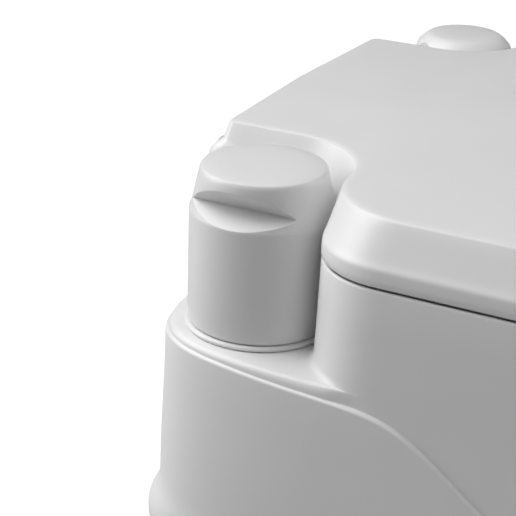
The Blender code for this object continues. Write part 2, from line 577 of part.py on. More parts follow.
def make_hinges(shell, steel):
    for side, name in ((-1, "left"), (1, "right")):
        center = side * HINGE_X
        plate = make_object("hinge_bracket_" + name, box(
            (center - 0.0180, 0.2118, 0.3450), (center + 0.0180, 0.2150, 0.3680)), shell)
        for ear, offset in (("in", -0.01425), ("out", 0.01425)):
            outline = [(0.2118, 0.3600), (0.2150, 0.3600), (0.2225, 0.3700)]
            outline += arc((HINGE_Y, HINGE_Z), 0.0055, -20.0, 180.0, 10)
            boolean(plate, make_object("ear_%s_%s" % (ear, name), side_plate(
                outline, center + offset - 0.00375, center + offset + 0.00375)), "UNION")
        boolean(plate, hinge_bore("bracket_bore_" + name))
        boolean(plate, make_object("bracket_hole_" + name, cylinder((center, 0.2000, 0.3560), "y", 0.0018, 0.03, 12)))
        pin = lathe([(PIN_R, 0.0), (PIN_R, 0.0365), (0.0040, 0.0365), (0.0036, 0.0380)], (0.0, 0.0), SMALL)
        turn = Vector((0.0, 0.0, 1.0)).rotation_difference(Vector((side, 0.0, 0.0))).to_matrix()
        bmesh.ops.rotate(pin, verts=pin.verts, cent=(0.0, 0.0, 0.0), matrix=turn)
        bmesh.ops.translate(pin, verts=pin.verts, vec=(center - side * 0.0182, HINGE_Y, HINGE_Z))
        make_object("hinge_pin_" + name, pin, steel)
        screw = lathe([(0.0015, 0.0), (0.0015, 0.0076), (0.0036, 0.0076), (0.0030, 0.0092)], (0.0, 0.0), 12)
        turn = Vector((0.0, 0.0, 1.0)).rotation_difference(Vector((0.0, 1.0, 0.0))).to_matrix()
        bmesh.ops.rotate(screw, verts=screw.verts, cent=(0.0, 0.0, 0.0), matrix=turn)
        bmesh.ops.translate(screw, verts=screw.verts, vec=(center, 0.2077, 0.3560))
        make_object("hinge_screw_" + name, screw, steel)


def make_seat(finish, rubber):
    def level(z, inset, hole=False):
        if hole:
            return (z, oval(0.1060 + inset, 0.1370 + inset, -0.0060, 2.1))
        return (z, oval(0.1630 - inset, 0.1820 - inset, -0.0170, 2.1))
    seat = make_object("seat", loft([
        level(0.3727, 0.004), level(0.3760, 0.0), level(0.3840, 0.001), level(0.3885, 0.006), level(0.3898, 0.018),
        level(0.3890, 0.010, True), level(0.3860, 0.002, True), level(0.3760, 0.0, True),
        level(0.3727, 0.003, True)], closed=True), finish, (0.0, HINGE_Y, HINGE_Z))
    for side, name in ((-1, "left"), (1, "right")):
        center = side * HINGE_X
        low, high = center - 0.0102, center - 0.0003
        if side < 0:
            low, high = center + 0.0003, center + 0.0102
        boolean(seat, knuckle("seat_arm_" + name, low, high, 0.1500), "UNION")
    boolean(seat, hinge_bore("seat_bore"))
    for i, (x, y) in enumerate(SEAT_BUFFERS):
        make_object("seat_buffer_%d" % (i + 1), lathe([(0.0065, 0.3700), (0.0070, 0.3724)], (x, y), SMALL), rubber,
                    (x, y, 0.3724))


def make_lid(finish, rubber):
    lid = make_object("lid", loft([
        (0.3708, raised_outline(0.0010)), (0.3725, raised_outline(0.0004)), (0.3795, raised_outline(0.0010)),
        (0.3820, raised_outline(0.0022)), (LID_TOP - 0.0007, lid_top_outline()), (LID_TOP, lid_top_outline())]),
        finish, (0.0, HINGE_Y, HINGE_Z))
    inside = make_object("lid_hollow", loft([
        (0.3600, raised_outline(0.0040)), (0.3800, raised_outline(0.0045)), (0.3950, lid_top_outline(0.0035))]))
    boolean(lid, inside)
    for side, name in ((-1, "left"), (1, "right")):
        center = side * HINGE_X
        seat_low, seat_high = center - 0.0107, center + 0.00015
        low, high = center + 0.0003, center + 0.0102
        if side < 0:
            seat_low, seat_high = center - 0.00015, center + 0.0107
            low, high = center - 0.0102, center - 0.0003
        boolean(lid, make_object("arm_slot_" + name, box((seat_low, 0.1950, 0.3500), (seat_high, 0.2200, 0.3815))))
        boolean(lid, knuckle("lid_arm_" + name, low, high, 0.2085), "UNION")
    boolean(lid, hinge_bore("lid_bore"))
    for i, (x, y) in enumerate(LID_BUFFERS):
        make_object("lid_buffer_%d" % (i + 1), lathe([(0.0060, 0.3902), (0.0065, 0.3946)], (x, y), SMALL), rubber,
                    (x, y, 0.3946))


def main():
    clear_scene()
    white = material("white_plastic", (0.80, 0.80, 0.80), 0.30)
    lower = material("grey_plastic", (0.74, 0.74, 0.75), 0.35)
    inner = material("bowl_plastic", (0.82, 0.82, 0.82), 0.20)
    dark = material("grey_parts", (0.32, 0.33, 0.35), 0.45)
    blade = material("blade_plastic", (0.20, 0.21, 0.23), 0.35)
    rubber = material("seal_rubber", (0.04, 0.04, 0.04), 0.80)
    steel = material("stainless", (0.62, 0.62, 0.62), 0.30, 1.0)
    orange = material("float_orange", (0.85, 0.28, 0.05), 0.45)
    clear = material("window_clear", (0.85, 0.87, 0.88), 0.10, alpha=0.5)
    make_waste_tank(lower)
    make_feet(rubber)
    make_valve(dark, blade, rubber, steel)
    make_spout(dark, dark, rubber)
    make_vent(dark, orange)
    make_carry_handle(dark, steel)
    make_level_gauge(dark, orange, clear)
    make_latches(dark, steel)
    make_flush_tank(white)
    make_bowl(inner)
    make_nozzle(dark, clear)
    make_pump(white, dark, rubber, steel)
    make_filler(white, white, rubber)
    make_hinges(white, steel)
    make_seat(white, rubber)
    make_lid(white, rubber)


main()
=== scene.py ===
"""Looks of the portable two-part toilet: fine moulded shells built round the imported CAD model.

Every length is in metres in the frame of the CAD: +Z up, front towards -Y, pump at the rear left.
"""
import json
import math

import bmesh
import bpy
from mathutils import Matrix, Vector


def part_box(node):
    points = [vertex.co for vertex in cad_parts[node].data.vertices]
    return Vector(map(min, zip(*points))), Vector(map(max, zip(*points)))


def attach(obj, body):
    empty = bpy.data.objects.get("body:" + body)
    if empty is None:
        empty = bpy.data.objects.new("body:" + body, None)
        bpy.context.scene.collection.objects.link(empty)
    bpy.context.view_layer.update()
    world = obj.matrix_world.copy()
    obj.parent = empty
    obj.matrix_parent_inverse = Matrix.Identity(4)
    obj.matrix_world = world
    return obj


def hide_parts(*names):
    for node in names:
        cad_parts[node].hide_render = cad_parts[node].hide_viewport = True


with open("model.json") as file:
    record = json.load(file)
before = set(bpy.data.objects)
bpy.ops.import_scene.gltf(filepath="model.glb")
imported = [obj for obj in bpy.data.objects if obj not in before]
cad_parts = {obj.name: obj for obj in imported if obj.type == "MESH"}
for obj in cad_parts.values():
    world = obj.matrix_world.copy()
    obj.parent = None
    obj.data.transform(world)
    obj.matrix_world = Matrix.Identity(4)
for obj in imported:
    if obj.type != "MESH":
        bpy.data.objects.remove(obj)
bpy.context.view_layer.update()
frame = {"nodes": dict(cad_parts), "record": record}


def center_of(node):
    low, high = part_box(node)
    return (Vector(low) + Vector(high)) / 2


# Driving dimensions, read from the CAD where its boxes give them
GAP = 0.0003                                   # gap between touching pieces
FLARE = 0.0026                                 # how far the tank's foot stands out of its walls
tank_low, tank_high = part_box("flush_tank")
SEAM = tank_low.z - GAP                        # height of the seam between the tanks
SIDE = tank_high.x - FLARE                     # half width of the tank walls
FRONT = -tank_low.y - FLARE                    # front wall at the centre line
DECK = tank_high.z                             # top of the raised body
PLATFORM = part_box("pump_collar")[0].z - GAP    # height of the pump's and the filler's platform
PUMP = center_of("pump_knob")
FILLER = Vector((-PUMP.x, PUMP.y, 0.0))
KNOB_R = (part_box("pump_knob")[1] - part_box("pump_knob")[0]).y / 2
LID_LOW = DECK + 0.0011                        # rim of the closed lid, clear of the deck
LID_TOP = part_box("lid")[1].z
REAR = 0.2120                                  # rear wall at the centre line
REAR_BOW = 0.42                                # how fast the rear wall curves away from the centre line
CORNER_PUSH = 0.0012                           # fullness of the tank's rear corners
STEP = 0.0026                                  # set-back of the raised body from the tank walls
NOTCH_R = 0.0390                               # hollow of the raised body round the pump
CORNER_R = 0.0400                              # shoulder in front of the pump
WALL = 0.0055                                  # wall thickness of the tanks
HINGE = Vector((0.0, 0.2175, 0.3745))          # seat and lid hinge axis
HINGE_X = center_of("hinge_bracket_right").x   # centre of each hinge from the centre line
PIN_R = 0.0026                                 # hinge pins
LID_INSET = 0.0165                             # from the tank's side wall to the lid's flat top
LID_REAR_INSET = 0.0060
LID_SHOULDER_R = 0.0420
PUMP_HOLLOW = (-0.0050, 0.0435)                # hollows of the lid's top: centre off the axis, and radius
FILLER_HOLLOW = (0.0005, 0.0405)
EYE_R = 0.0055                                 # hinge eyes
FLANGE = 0.0040                                # how far the lid's rear corners stand out behind
LEDGE_END = 0.2360                             # lowest height of the step line, round the front
LEDGE_TOP = PLATFORM - 0.0042                  # its height round the rear corners
LEDGE_WIDTH = 0.0016
FOOT_TOP = 0.2300                              # where the flare of the tank's foot ends
NOZZLE_Z = 0.3520                              # spray nozzle's bore
NOZZLE_R = 0.0064
OUTLET_Y = 0.0200
PAN_Z = 0.1760                                 # recess in the waste tank's top
CHANNEL_Z = 0.1350                             # recess for the pour-out spout
CAP_FLUTES = 6
CAP_FIRST = 20.0                               # direction of the cap's first flute, in degrees
BOWL_LEVELS = (                                # height, half width, half depth, centre in Y
    (0.1960, 0.0500, 0.0500, 0.0200), (0.2140, 0.0510, 0.0510, 0.0200), (0.2320, 0.0720, 0.0790, 0.0150),
    (0.2620, 0.0950, 0.1100, 0.0080), (0.3050, 0.1120, 0.1360, 0.0030), (0.3450, 0.1200, 0.1480, 0.0000),
    (0.3850, 0.1240, 0.1540, 0.0000))

# Points along each stretch of an outline's right half
ON_FRONT = 26
ON_SIDE = 30
ON_SHOULDER = 14
ON_NOTCH = 18
ON_WALL = 5
ON_EDGE = 5
ON_REAR = 7

# Camera and light
CAMERA_FROM_PUMP = Vector((-0.6084, -0.2986, 0.3306))   # from the pump's axis at platform height
AZIMUTH, ELEVATION, ROLL = -63.73, 23.68, 2.03          # degrees
LENS = 104.6
AMBIENT = 0.03                                 # how much the white backdrop lights
FLOOR_GLOW = 0.60                              # how much the floor near the toilet glows for the camera
GLOW_NEAR, GLOW_FAR = 0.35, 1.80               # distances between which the floor fades to white
LIGHT_CENTER = Vector((0.0, 0.0, 0.28))
LIGHT_DISTANCE = 1.6
SOFT_BOXES = (                                 # name, direction it comes from, width, power in watts
    ("behind_high", (-0.20, 0.80, 1.00), 1.1, 16.5),
    ("behind_left", (-0.40, 1.00, 0.40), 0.9, 8.5),
    ("left_high", (-0.90, -0.45, 1.30), 1.1, 4.0),
    ("front_high", (0.00, -0.80, 1.00), 1.1, 4.0),
    ("front_right", (0.50, -0.85, 0.20), 1.1, 12.0),
)
COLORS = {m["slot"]: m["base_color"][:3] for m in frame["record"]["materials"]}


# Curves in the plan
def arc(center, radius, start, end, steps):
    """Points along an arc in degrees, both ends included."""
    points = []
    for i in range(steps + 1):
        angle = math.radians(start + (end - start) * i / steps)
        points.append(Vector((center[0] + radius * math.cos(angle), center[1] + radius * math.sin(angle))))
    return points


def bezier(p0, p1, p2, p3, steps):
    """Points along a cubic curve, both ends included."""
    points = []
    for i in range(steps + 1):
        t = i / steps
        weights = ((1 - t) ** 3, 3 * t * (1 - t) ** 2, 3 * t * t * (1 - t), t ** 3)
        points.append(sum((w * Vector(p) for w, p in zip(weights, (p0, p1, p2, p3))), Vector((0.0, 0.0))))
    return points


def mix(a, b, t):
    return a + (b - a) * t


def smoothstep(low, high, value):
    t = min(1.0, max(0.0, (value - low) / (high - low)))
    return t * t * (3.0 - 2.0 * t)


def lengths_along(points):
    """Distance of each point of a polyline from its start."""
    lengths = [0.0]
    for a, b in zip(points, points[1:]):
        lengths.append(lengths[-1] + (b - a).length)
    return lengths


def resample(points, shares):
    """Points of a polyline at the given shares of its length."""
    lengths = lengths_along(points)
    found = []
    for share in shares:
        goal = share * lengths[-1]
        i = max(k for k in range(len(points) - 1) if lengths[k] <= goal + 1e-12)
        span = lengths[i + 1] - lengths[i]
        found.append(points[i].lerp(points[i + 1], min(1.0, (goal - lengths[i]) / span)))
    return found


def shares_of(points):
    lengths = lengths_along(points)
    return [length / lengths[-1] for length in lengths]


def both_halves(right):
    """Close a right half that starts and ends on the centre line with its mirror image."""
    return right + [Vector((-p.x, p.y)) for p in reversed(right[1:-1])]


def normals_of(points):
    """Outward normals of a closed counter-clockwise outline."""
    normals = []
    for before, after in zip(points[-1:] + points[:-1], points[1:] + points[:1]):
        along = (after - before).normalized()
        normals.append(Vector((along.y, -along.x)))
    return normals


def front_and_side(inset, end=None):
    """Front centre to the start of the shoulder, moved in from the tank wall."""
    curve = bezier((0.0, -FRONT), (0.145, -FRONT), (SIDE, -0.195), (SIDE, -0.050), ON_FRONT)
    start = curve[-1].y
    end = shoulder_center().y if end is None else end
    curve += [Vector((SIDE, mix(start, end, (i + 1) / ON_SIDE))) for i in range(ON_SIDE)]
    moved = []
    for i, point in enumerate(curve):
        before = curve[i - 1] if i else Vector((-curve[1].x, curve[1].y))
        after = curve[i + 1] if i + 1 < len(curve) else point + Vector((0.0, 0.001))
        along = (after - before).normalized()
        moved.append(point - inset * Vector((along.y, -along.x)))
    return moved


def shoulder_center():
    x = SIDE - STEP - CORNER_R
    span = CORNER_R + NOTCH_R
    return Vector((x, FILLER.y - math.sqrt(span * span - (FILLER.x - x) ** 2)))


def hollow_corner(shoulder, shoulder_r, hollow, hollow_r, wall_end, rear, edge):
    """Shoulder, hollow round the filler, wall to the rear, rounded rear edge, and the rear to the centre."""
    lean = math.degrees(math.atan2(hollow.y - shoulder.y, hollow.x - shoulder.x))
    right = arc(shoulder, shoulder_r, 0.0, lean, ON_SHOULDER)[1:]
    right += arc(hollow, hollow_r, lean - 180.0, -180.0, ON_NOTCH)[1:]
    wall = Vector((hollow.x - hollow_r, wall_end))
    right += [right[-1].lerp(wall, (i + 1) / ON_WALL) for i in range(ON_WALL)]
    right += arc((wall.x - edge, wall.y), edge, 0.0, 90.0, ON_EDGE)[1:]
    last = right[-1]
    right += [last.lerp(Vector((0.0, rear)), (i + 1) / ON_REAR) for i in range(ON_REAR)]
    return right


def raised_half(inset=0.0):
    rear = REAR - 0.0008 - inset
    edge = 0.006
    corner = hollow_corner(shoulder_center(), CORNER_R - inset, FILLER.xy, NOTCH_R + inset,
                           rear - 0.003 - edge, rear, edge)
    return front_and_side(STEP + inset) + corner


def raised_outline(inset=0.0):
    """Plan of the raised body and of the lid's rim, point for point with tank_outline."""
    return both_halves(raised_half(inset))


def tank_half():
    """Tank wall, each point facing the raised body's point of the same number."""
    raised = raised_half()
    first = ON_FRONT + ON_SIDE
    last = first + ON_SHOULDER + ON_NOTCH + ON_WALL + ON_EDGE
    x, y = FILLER.x, FILLER.y
    start = Vector((SIDE, y - 0.0600))
    end = Vector((x - 0.0102, y + 0.0485))
    wall = [Vector((SIDE, shoulder_center().y)), start]
    wall += bezier(start, (SIDE, y + 0.0280), (x + 0.0350, y + 0.0465), end, 40)[1:]
    steps = 12
    wall += [rear_wall(mix(x - 0.0102, raised[last].x, (i + 1) / steps)) for i in range(steps)]
    right = front_and_side(0.0)
    right += resample(wall, shares_of(raised[first:last + 1]))[1:]
    return right + [rear_wall(point.x) for point in raised[last + 1:]]


def rear_wall(x):
    return Vector((x, REAR - REAR_BOW * x * x + CORNER_PUSH * smoothstep(0.09, 0.13, x)))


TANK_WALL = both_halves(tank_half())
TANK_OUT = normals_of(TANK_WALL)


def tank_outline(grow, rear_push=0.0):
    """Tank wall moved out by grow, with its rear moved back by rear_push."""
    moved = []
    for point, out in zip(TANK_WALL, TANK_OUT):
        place = point + out * grow
        place.y += rear_push * smoothstep(0.10, 0.19, place.y)
        moved.append(place)
    return moved


def lid_top_outline(inset=0.0):
    """Plan of the lid's flat top, inside its wide bevel, point for point with raised_outline."""
    beside_filler, beside_pump = [lid_top_half(inset, *hollow) for hollow in (FILLER_HOLLOW, PUMP_HOLLOW)]
    return beside_filler + [Vector((-p.x, p.y)) for p in reversed(beside_pump[1:-1])]


def lid_top_half(inset, shift_x, hollow_r):
    hollow = Vector((FILLER.x + shift_x, FILLER.y + 0.002))
    x = SIDE - LID_INSET - LID_SHOULDER_R
    span = hollow_r + LID_SHOULDER_R
    shoulder = Vector((x, hollow.y - math.sqrt(span * span - (hollow.x - x) ** 2)))
    rear = REAR - LID_REAR_INSET - inset
    edge = 0.004
    right = front_and_side(LID_INSET + inset, shoulder.y)
    return right + hollow_corner(shoulder, LID_SHOULDER_R - inset, hollow, hollow_r + inset,
                                 rear - 0.003 - edge, rear, edge)


def oval(a, b, cy=0.0, power=2.0, steps=96):
    """Superellipse centred on the centre line."""
    points = []
    for i in range(steps):
        angle = 2.0 * math.pi * i / steps
        c, s = math.cos(angle), math.sin(angle)
        x = math.copysign(abs(c) ** (2.0 / power), c) * a
        y = math.copysign(abs(s) ** (2.0 / power), s) * b
        points.append(Vector((x, cy + y)))
    return points


# Meshes
def skin(rings, closed=False):
    """Bridge rings of points from the bottom up and cap the ends; closed joins the last ring to the first."""
    bm = bmesh.new()
    made = [[bm.verts.new(p) for p in points] for points in rings]
    pairs = list(zip(made, made[1:]))
    if closed:
        pairs.append((made[-1], made[0]))
    for low, high in pairs:
        for i in range(len(low)):
            j = (i + 1) % len(low)
            bm.faces.new((low[i], low[j], high[j], high[i]))
    if not closed:
        bm.faces.new(list(reversed(made[0])))
        bm.faces.new(made[-1])
    return bm


def loft(levels, closed=False):
    """Bridge outlines, each given as (z, points)."""
    return skin([[(p.x, p.y, z) for p in points] for z, points in levels], closed)


def box(low, high):
    (x0, y0), (x1, y1) = low[:2], high[:2]
    corners = [Vector(corner) for corner in ((x0, y0), (x1, y0), (x1, y1), (x0, y1))]
    return loft([(low[2], corners), (high[2], corners)])


def lathe(profile, center, sides=96, closed=False):
    """Turn a profile of (radius, z) points about a vertical axis."""
    rings = []
    for radius, z in profile:
        turn = [2.0 * math.pi * i / sides for i in range(sides)]
        rings.append([(center[0] + radius * math.cos(a), center[1] + radius * math.sin(a), z) for a in turn])
    return skin(rings, closed)


def turned(bm, axis, start):
    """Turn a bmesh made about +Z to point along axis, and move it to start."""
    rotation = Vector((0.0, 0.0, 1.0)).rotation_difference(Vector(axis)).to_matrix()
    bmesh.ops.rotate(bm, verts=bm.verts, cent=(0.0, 0.0, 0.0), matrix=rotation)
    bmesh.ops.translate(bm, verts=bm.verts, vec=start)
    return bm


def cylinder(start, axis, radius, length, sides=48):
    return turned(lathe([(radius, 0.0), (radius, length)], (0.0, 0.0), sides), axis, start)


def side_plate(points, x_low, x_high):
    """Extrude a (y, z) outline, counter-clockwise seen from +X, along X."""
    return skin([[(x_low, y, z) for y, z in points], [(x_high, y, z) for y, z in points]])


def make_object(name, bm):
    mesh = bpy.data.meshes.new(name)
    bm.to_mesh(mesh)
    bm.free()
    made = bpy.data.objects.new(name, mesh)
    bpy.context.scene.collection.objects.link(made)
    return made


def cut(made, tools, operation="DIFFERENCE"):
    """Apply exact Booleans with throw-away tools."""
    for bm in tools:
        tool = make_object("tool", bm)
        modifier = made.modifiers.new("cut", "BOOLEAN")
        modifier.operation = operation
        modifier.solver = "EXACT"
        modifier.object = tool
        apply_modifiers(made)
        bpy.data.objects.remove(tool, do_unlink=True)


def taken_mesh(made):
    """Mesh of a throw-away object, as a bmesh."""
    bm = bmesh.new()
    bm.from_mesh(made.data)
    bpy.data.objects.remove(made, do_unlink=True)
    return bm


def apply_modifiers(made):
    depsgraph = bpy.context.evaluated_depsgraph_get()
    mesh = bpy.data.meshes.new_from_object(made.evaluated_get(depsgraph))
    made.modifiers.clear()
    old = made.data
    made.data = mesh
    bpy.data.meshes.remove(old)


def soften(made, width, angle):
    """Round every edge sharper than angle, in degrees."""
    modifier = made.modifiers.new("soft", "BEVEL")
    modifier.width = width
    modifier.segments = 3
    modifier.limit_method = "ANGLE"
    modifier.angle_limit = math.radians(angle)
    modifier.use_clamp_overlap = True
    modifier.harden_normals = False
    apply_modifiers(made)


def finish(made, slot, body, node, sharp=32.0):
    """Shade, colour and place a finished piece that stands for one CAD node."""
    made.data.shade_smooth()
    made.data.set_sharp_from_angle(angle=math.radians(sharp))
    made.data.materials.clear()
    made.data.materials.append(LOOKS[slot])
    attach(made, body)
    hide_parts(node)


# Materials
def new_material(name):
    made = bpy.data.materials.new(name)
    made.use_nodes = True
    nodes = made.node_tree.nodes
    return made, nodes, made.node_tree.links, nodes["Principled BSDF"]


def noise(nodes, links, place, scale, detail):
    node = nodes.new("ShaderNodeTexNoise")
    node.inputs["Scale"].default_value = scale
    node.inputs["Detail"].default_value = detail
    node.inputs["Roughness"].default_value = 0.55
    links.new(place, node.inputs["Vector"])
    return node.outputs["Fac"]


def spread(nodes, links, value, low, high):
    """Map a noise's middle range to low..high."""
    node = nodes.new("ShaderNodeMapRange")
    node.inputs["From Min"].default_value = 0.3
    node.inputs["From Max"].default_value = 0.7
    node.inputs["To Min"].default_value = low
    node.inputs["To Max"].default_value = high
    links.new(value, node.inputs["Value"])
    return node.outputs["Result"]


def moulded(slot, roughness, tone, grain, depth, ripple=0.0, metallic=0.0, stretch=(1.0, 1.0, 1.0)):
    """Moulded or brushed surface: faint clouds of tone, uneven gloss, fine grain and slow ripple."""
    made, nodes, links, shader = new_material(slot + "_look")
    color = COLORS[slot]
    place = nodes.new("ShaderNodeTexCoord").outputs["Object"]
    mapping = nodes.new("ShaderNodeMapping")
    mapping.inputs["Scale"].default_value = stretch
    links.new(place, mapping.inputs["Vector"])
    place = mapping.outputs["Vector"]
    clouds = noise(nodes, links, place, 9.0, 4.0)
    ramp = nodes.new("ShaderNodeValToRGB")
    ramp.color_ramp.elements[0].position = 0.35
    ramp.color_ramp.elements[1].position = 0.65
    ramp.color_ramp.elements[0].color = (*[c * (1.0 - tone) for c in color], 1.0)
    ramp.color_ramp.elements[1].color = (*[min(1.0, c * (1.0 + tone)) for c in color], 1.0)
    links.new(clouds, ramp.inputs["Fac"])
    links.new(ramp.outputs["Color"], shader.inputs["Base Color"])
    patches = noise(nodes, links, place, 35.0, 5.0)
    links.new(spread(nodes, links, patches, roughness * 0.88, roughness * 1.12), shader.inputs["Roughness"])
    fine = noise(nodes, links, place, grain, 2.0)
    bump = nodes.new("ShaderNodeBump")
    bump.inputs["Strength"].default_value = 1.0
    bump.inputs["Distance"].default_value = depth
    links.new(fine, bump.inputs["Height"])
    normal = bump.outputs["Normal"]
    if ripple:
        slow = noise(nodes, links, place, 22.0, 1.0)
        wave = nodes.new("ShaderNodeBump")
        wave.inputs["Distance"].default_value = ripple
        links.new(slow, wave.inputs["Height"])
        links.new(normal, wave.inputs["Normal"])
        normal = wave.outputs["Normal"]
    links.new(normal, shader.inputs["Normal"])
    shader.inputs["Metallic"].default_value = metallic
    return made


def clear_plastic(slot):
    made, nodes, links, shader = new_material(slot + "_look")
    place = nodes.new("ShaderNodeTexCoord").outputs["Object"]
    shader.inputs["Base Color"].default_value = (*COLORS[slot], 1.0)
    shader.inputs["Alpha"].default_value = 0.45
    shader.inputs["IOR"].default_value = 1.49
    haze = noise(nodes, links, place, 60.0, 3.0)
    links.new(spread(nodes, links, haze, 0.06, 0.16), shader.inputs["Roughness"])
    return made


LOOKS = {                                      # roughness, tone, grain, grain's depth, ripple's depth
    "white_plastic": moulded("white_plastic", 0.34, 0.012, 1400.0, 0.000012, 0.00004),
    "grey_plastic": moulded("grey_plastic", 0.38, 0.02, 900.0, 0.00002, 0.00008),
    "bowl_plastic": moulded("bowl_plastic", 0.18, 0.01, 1600.0, 0.000006, 0.00004),
    "grey_parts": moulded("grey_parts", 0.50, 0.06, 1100.0, 0.00004),
    "blade_plastic": moulded("blade_plastic", 0.40, 0.06, 1100.0, 0.00003),
    "seal_rubber": moulded("seal_rubber", 0.80, 0.25, 1500.0, 0.00006),
    "stainless": moulded("stainless", 0.30, 0.05, 600.0, 0.00001, metallic=1.0, stretch=(1.0, 1.0, 12.0)),
    "float_orange": moulded("float_orange", 0.42, 0.05, 1000.0, 0.00002),
    "window_clear": clear_plastic("window_clear"),
}


# Flush tank: one skin from the seam over the platform to the deck
def ledge_height(place):
    """The step line runs level beside the platform, then curves down along the side to the front."""
    back = place.y - PUMP.y
    if abs(place.x) < SIDE - 0.012 and place.y > 0.0:
        return LEDGE_TOP
    level_part = LEDGE_TOP + 0.038 * min(0.0, back + 0.004)
    bend, slope, soft = -0.0930, 0.745, 0.0085
    drop = slope * soft * math.log1p(math.exp(min((bend - back) / soft, 40.0)))
    above, ease = level_part - drop - LEDGE_END, 0.012
    return LEDGE_END + ease * math.log1p(math.exp(min(above / ease, 40.0)))


def tank_column(wall, out, inner, inner_out):
    """One column of the flush tank's skin, bottom to top, from the wall's point to the raised body's."""
    width = (wall - inner).length
    edge = ledge_height(wall)
    step = width if width < 0.0030 else max(LEDGE_WIDTH, 0.0030 - 0.35 * (width - 0.0030))
    rim = min(0.0042, 0.45 * (width - step))
    fillet = min(0.0032, 0.45 * (width - step))
    root = min(0.0004, 0.2 * (width - step))
    foot = smoothstep(0.10, 0.19, wall.y)
    column = []

    def at_wall(z, inset):
        lean = 0.0022 * (1.0 - smoothstep(FOOT_TOP, 0.3120, z))
        place = wall + out * (lean - inset)
        column.append((place.x, place.y, z))

    for z, grow, push in ((SEAM + GAP, 0.0012, 0.0050), (SEAM + 0.0008, 0.0020, 0.0056),
                          (SEAM + 0.0018, 0.0024, 0.0062), (SEAM + 0.0034, 0.0026, 0.0065),
                          (0.2060, 0.0026, 0.0066), (0.2090, 0.0026, 0.0063), (0.2120, 0.0025, 0.0055),
                          (0.2150, 0.0025, 0.0042), (0.2180, 0.0024, 0.0027), (0.2210, 0.0023, 0.0014),
                          (0.2240, 0.0023, 0.0006), (0.2275, 0.0022, 0.0001)):
        place = wall + out * grow
        column.append((place.x, place.y + push * foot, z))
    for k in range(5):
        at_wall(mix(FOOT_TOP, edge - 0.0014, k / 4.0), 0.0)
    at_wall(edge - 0.0007, 0.0001)
    at_wall(edge - 0.0002, 0.0004)
    at_wall(edge, 0.0007)
    at_wall(edge + 0.0003, step - 0.0004)
    at_wall(edge + 0.0006, step - 0.0001)
    at_wall(edge + 0.0011, step)
    for k in range(1, 7):
        angle = math.radians(15.0 * k)
        at_wall(mix(edge + 0.0011, PLATFORM, math.sin(angle)), step + rim * (1.0 - math.cos(angle)))
    start = Vector(column[-1][:2])
    end = inner + inner_out * (fillet + root)
    for k in range(1, 4):
        place = start.lerp(end, k / 4.0)
        column.append((place.x, place.y, PLATFORM))
    for k in range(7):
        angle = math.radians(15.0 * k)
        place = inner + inner_out * (root + fillet * (1.0 - math.sin(angle)))
        column.append((place.x, place.y, PLATFORM + 0.0036 * (1.0 - math.cos(angle))))
    for z, inset in ((0.3300, 0.0000), (0.3500, 0.0005), (DECK - 0.0017, 0.0009), (DECK - 0.0009, 0.0011),
                     (DECK - 0.0004, 0.0015), (DECK - 0.0002, 0.0021), (DECK - 0.0004, 0.0026),
                     (DECK - 0.0036, 0.0028), (DECK - 0.0036, 0.0088), (DECK, 0.0090), (DECK, 0.0100)):
        place = inner - inner_out * inset
        column.append((place.x, place.y, z))
    return column


def bowl_levels(grow, low, high):
    """Smooth stack of ovals through the bowl's levels, each as (z, points)."""
    heights = [low] + [b[0] for b in BOWL_LEVELS[1:-1]] + [high]
    top = len(BOWL_LEVELS) - 1
    stack = []
    for k in range(top):
        before, start, end, after = (BOWL_LEVELS[max(0, min(top, k + d))] for d in (-1, 0, 1, 2))
        steps = 1 if k == 0 else 5
        for n in range(steps):
            t = n / steps
            a, b, cy = (0.5 * (2 * q + (r - p) * t + (2 * p - 5 * q + 4 * r - s) * t * t
                               + (3 * q - p - 3 * r + s) * t ** 3)
                        for p, q, r, s in zip(before[1:], start[1:], end[1:], after[1:]))
            stack.append((mix(heights[k], heights[k + 1], t), oval(a + grow, b + grow, cy)))
    a, b, cy = BOWL_LEVELS[-1][1:]
    return stack + [(high, oval(a + grow, b + grow, cy))]


def bowl_cutter(grow):
    return loft(bowl_levels(grow, 0.1900, 0.3900))


def make_flush_tank():
    raised = raised_outline()
    columns = [tank_column(*places) for places in zip(TANK_WALL, TANK_OUT, raised, normals_of(raised))]
    tank_skin = make_object("flush_shell", skin(list(zip(*columns))))
    cavity = make_object("cavity", loft([(0.2050, tank_outline(-WALL)), (0.3105, tank_outline(-WALL))]))
    cut(cavity, [loft([(0.3060, raised_outline(WALL)), (0.3645, raised_outline(WALL + 0.001))])], "UNION")
    cut(cavity, [bowl_cutter(0.0045)])
    inside = taken_mesh(cavity)
    cut(tank_skin, [
        inside, bowl_cutter(0.0005),
        cylinder((*PUMP.xy, 0.307), (0, 0, 1), 0.0304, 0.02, 96),
        cylinder((*FILLER.xy, 0.307), (0, 0, 1), 0.0225, 0.02, 96),
        cylinder((0.0, 0.1380, NOZZLE_Z), (0, 1, 0), NOZZLE_R, 0.03)])
    for side in (-1, 1):
        cut(tank_skin, [cylinder((side * HINGE_X, 0.2072, 0.3560), (0, 1, 0), 0.0018, 0.01, 16)])
    finish(tank_skin, "white_plastic", "flush_section", "flush_tank", 30.0)


